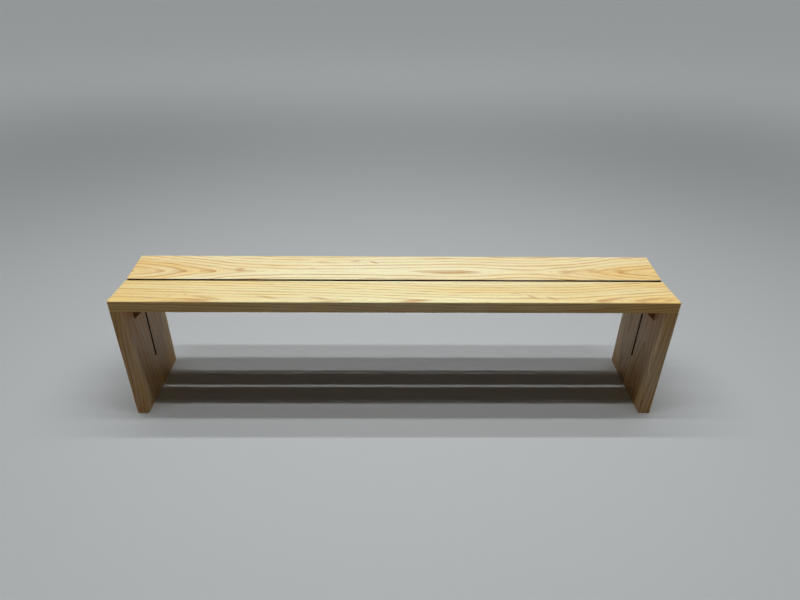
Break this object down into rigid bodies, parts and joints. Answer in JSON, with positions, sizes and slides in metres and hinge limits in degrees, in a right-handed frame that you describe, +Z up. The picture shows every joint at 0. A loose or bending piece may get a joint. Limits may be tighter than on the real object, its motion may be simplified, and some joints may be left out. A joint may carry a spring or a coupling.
{
  "type": "wooden bench",
  "caption": "Backless wooden bench: long seat boards with an open gap between them lie on slotted slab legs, braced by triangular corner blocks.",
  "frame": {"origin": "on the floor, below the middle of the bench", "axes": "+X along the bench, +Y from the front seat board to the rear one, +Z up"},
  "size_m": [1.6, 0.278, 0.4078],
  "materials": {
    "seat_wood": "clear satin lacquer",
    "leg_wood": "clear satin lacquer",
    "block_wood": "brown stain, clear satin lacquer",
    "joint_beech": "bare",
    "screw_steel": "zinc plated"
  },
  "bodies": {
    "root": {"seat_board_front": "seat_wood", "seat_board_rear": "seat_wood", "leg_left_front_stave": "leg_wood", "leg_left_rear_stave": "leg_wood", "leg_right_front_stave": "leg_wood", "leg_right_rear_stave": "leg_wood", "corner_block_left_front": "block_wood", "corner_block_left_rear": "block_wood", "corner_block_right_front": "block_wood", "corner_block_right_rear": "block_wood", "seat_dowels_front": "joint_beech", "seat_dowels_rear": "joint_beech", "leg_tongue_left": "joint_beech", "leg_tongue_right": "joint_beech", "block_screws_front": "screw_steel", "block_screws_rear": "screw_steel"}
  },
  "joints": []
}
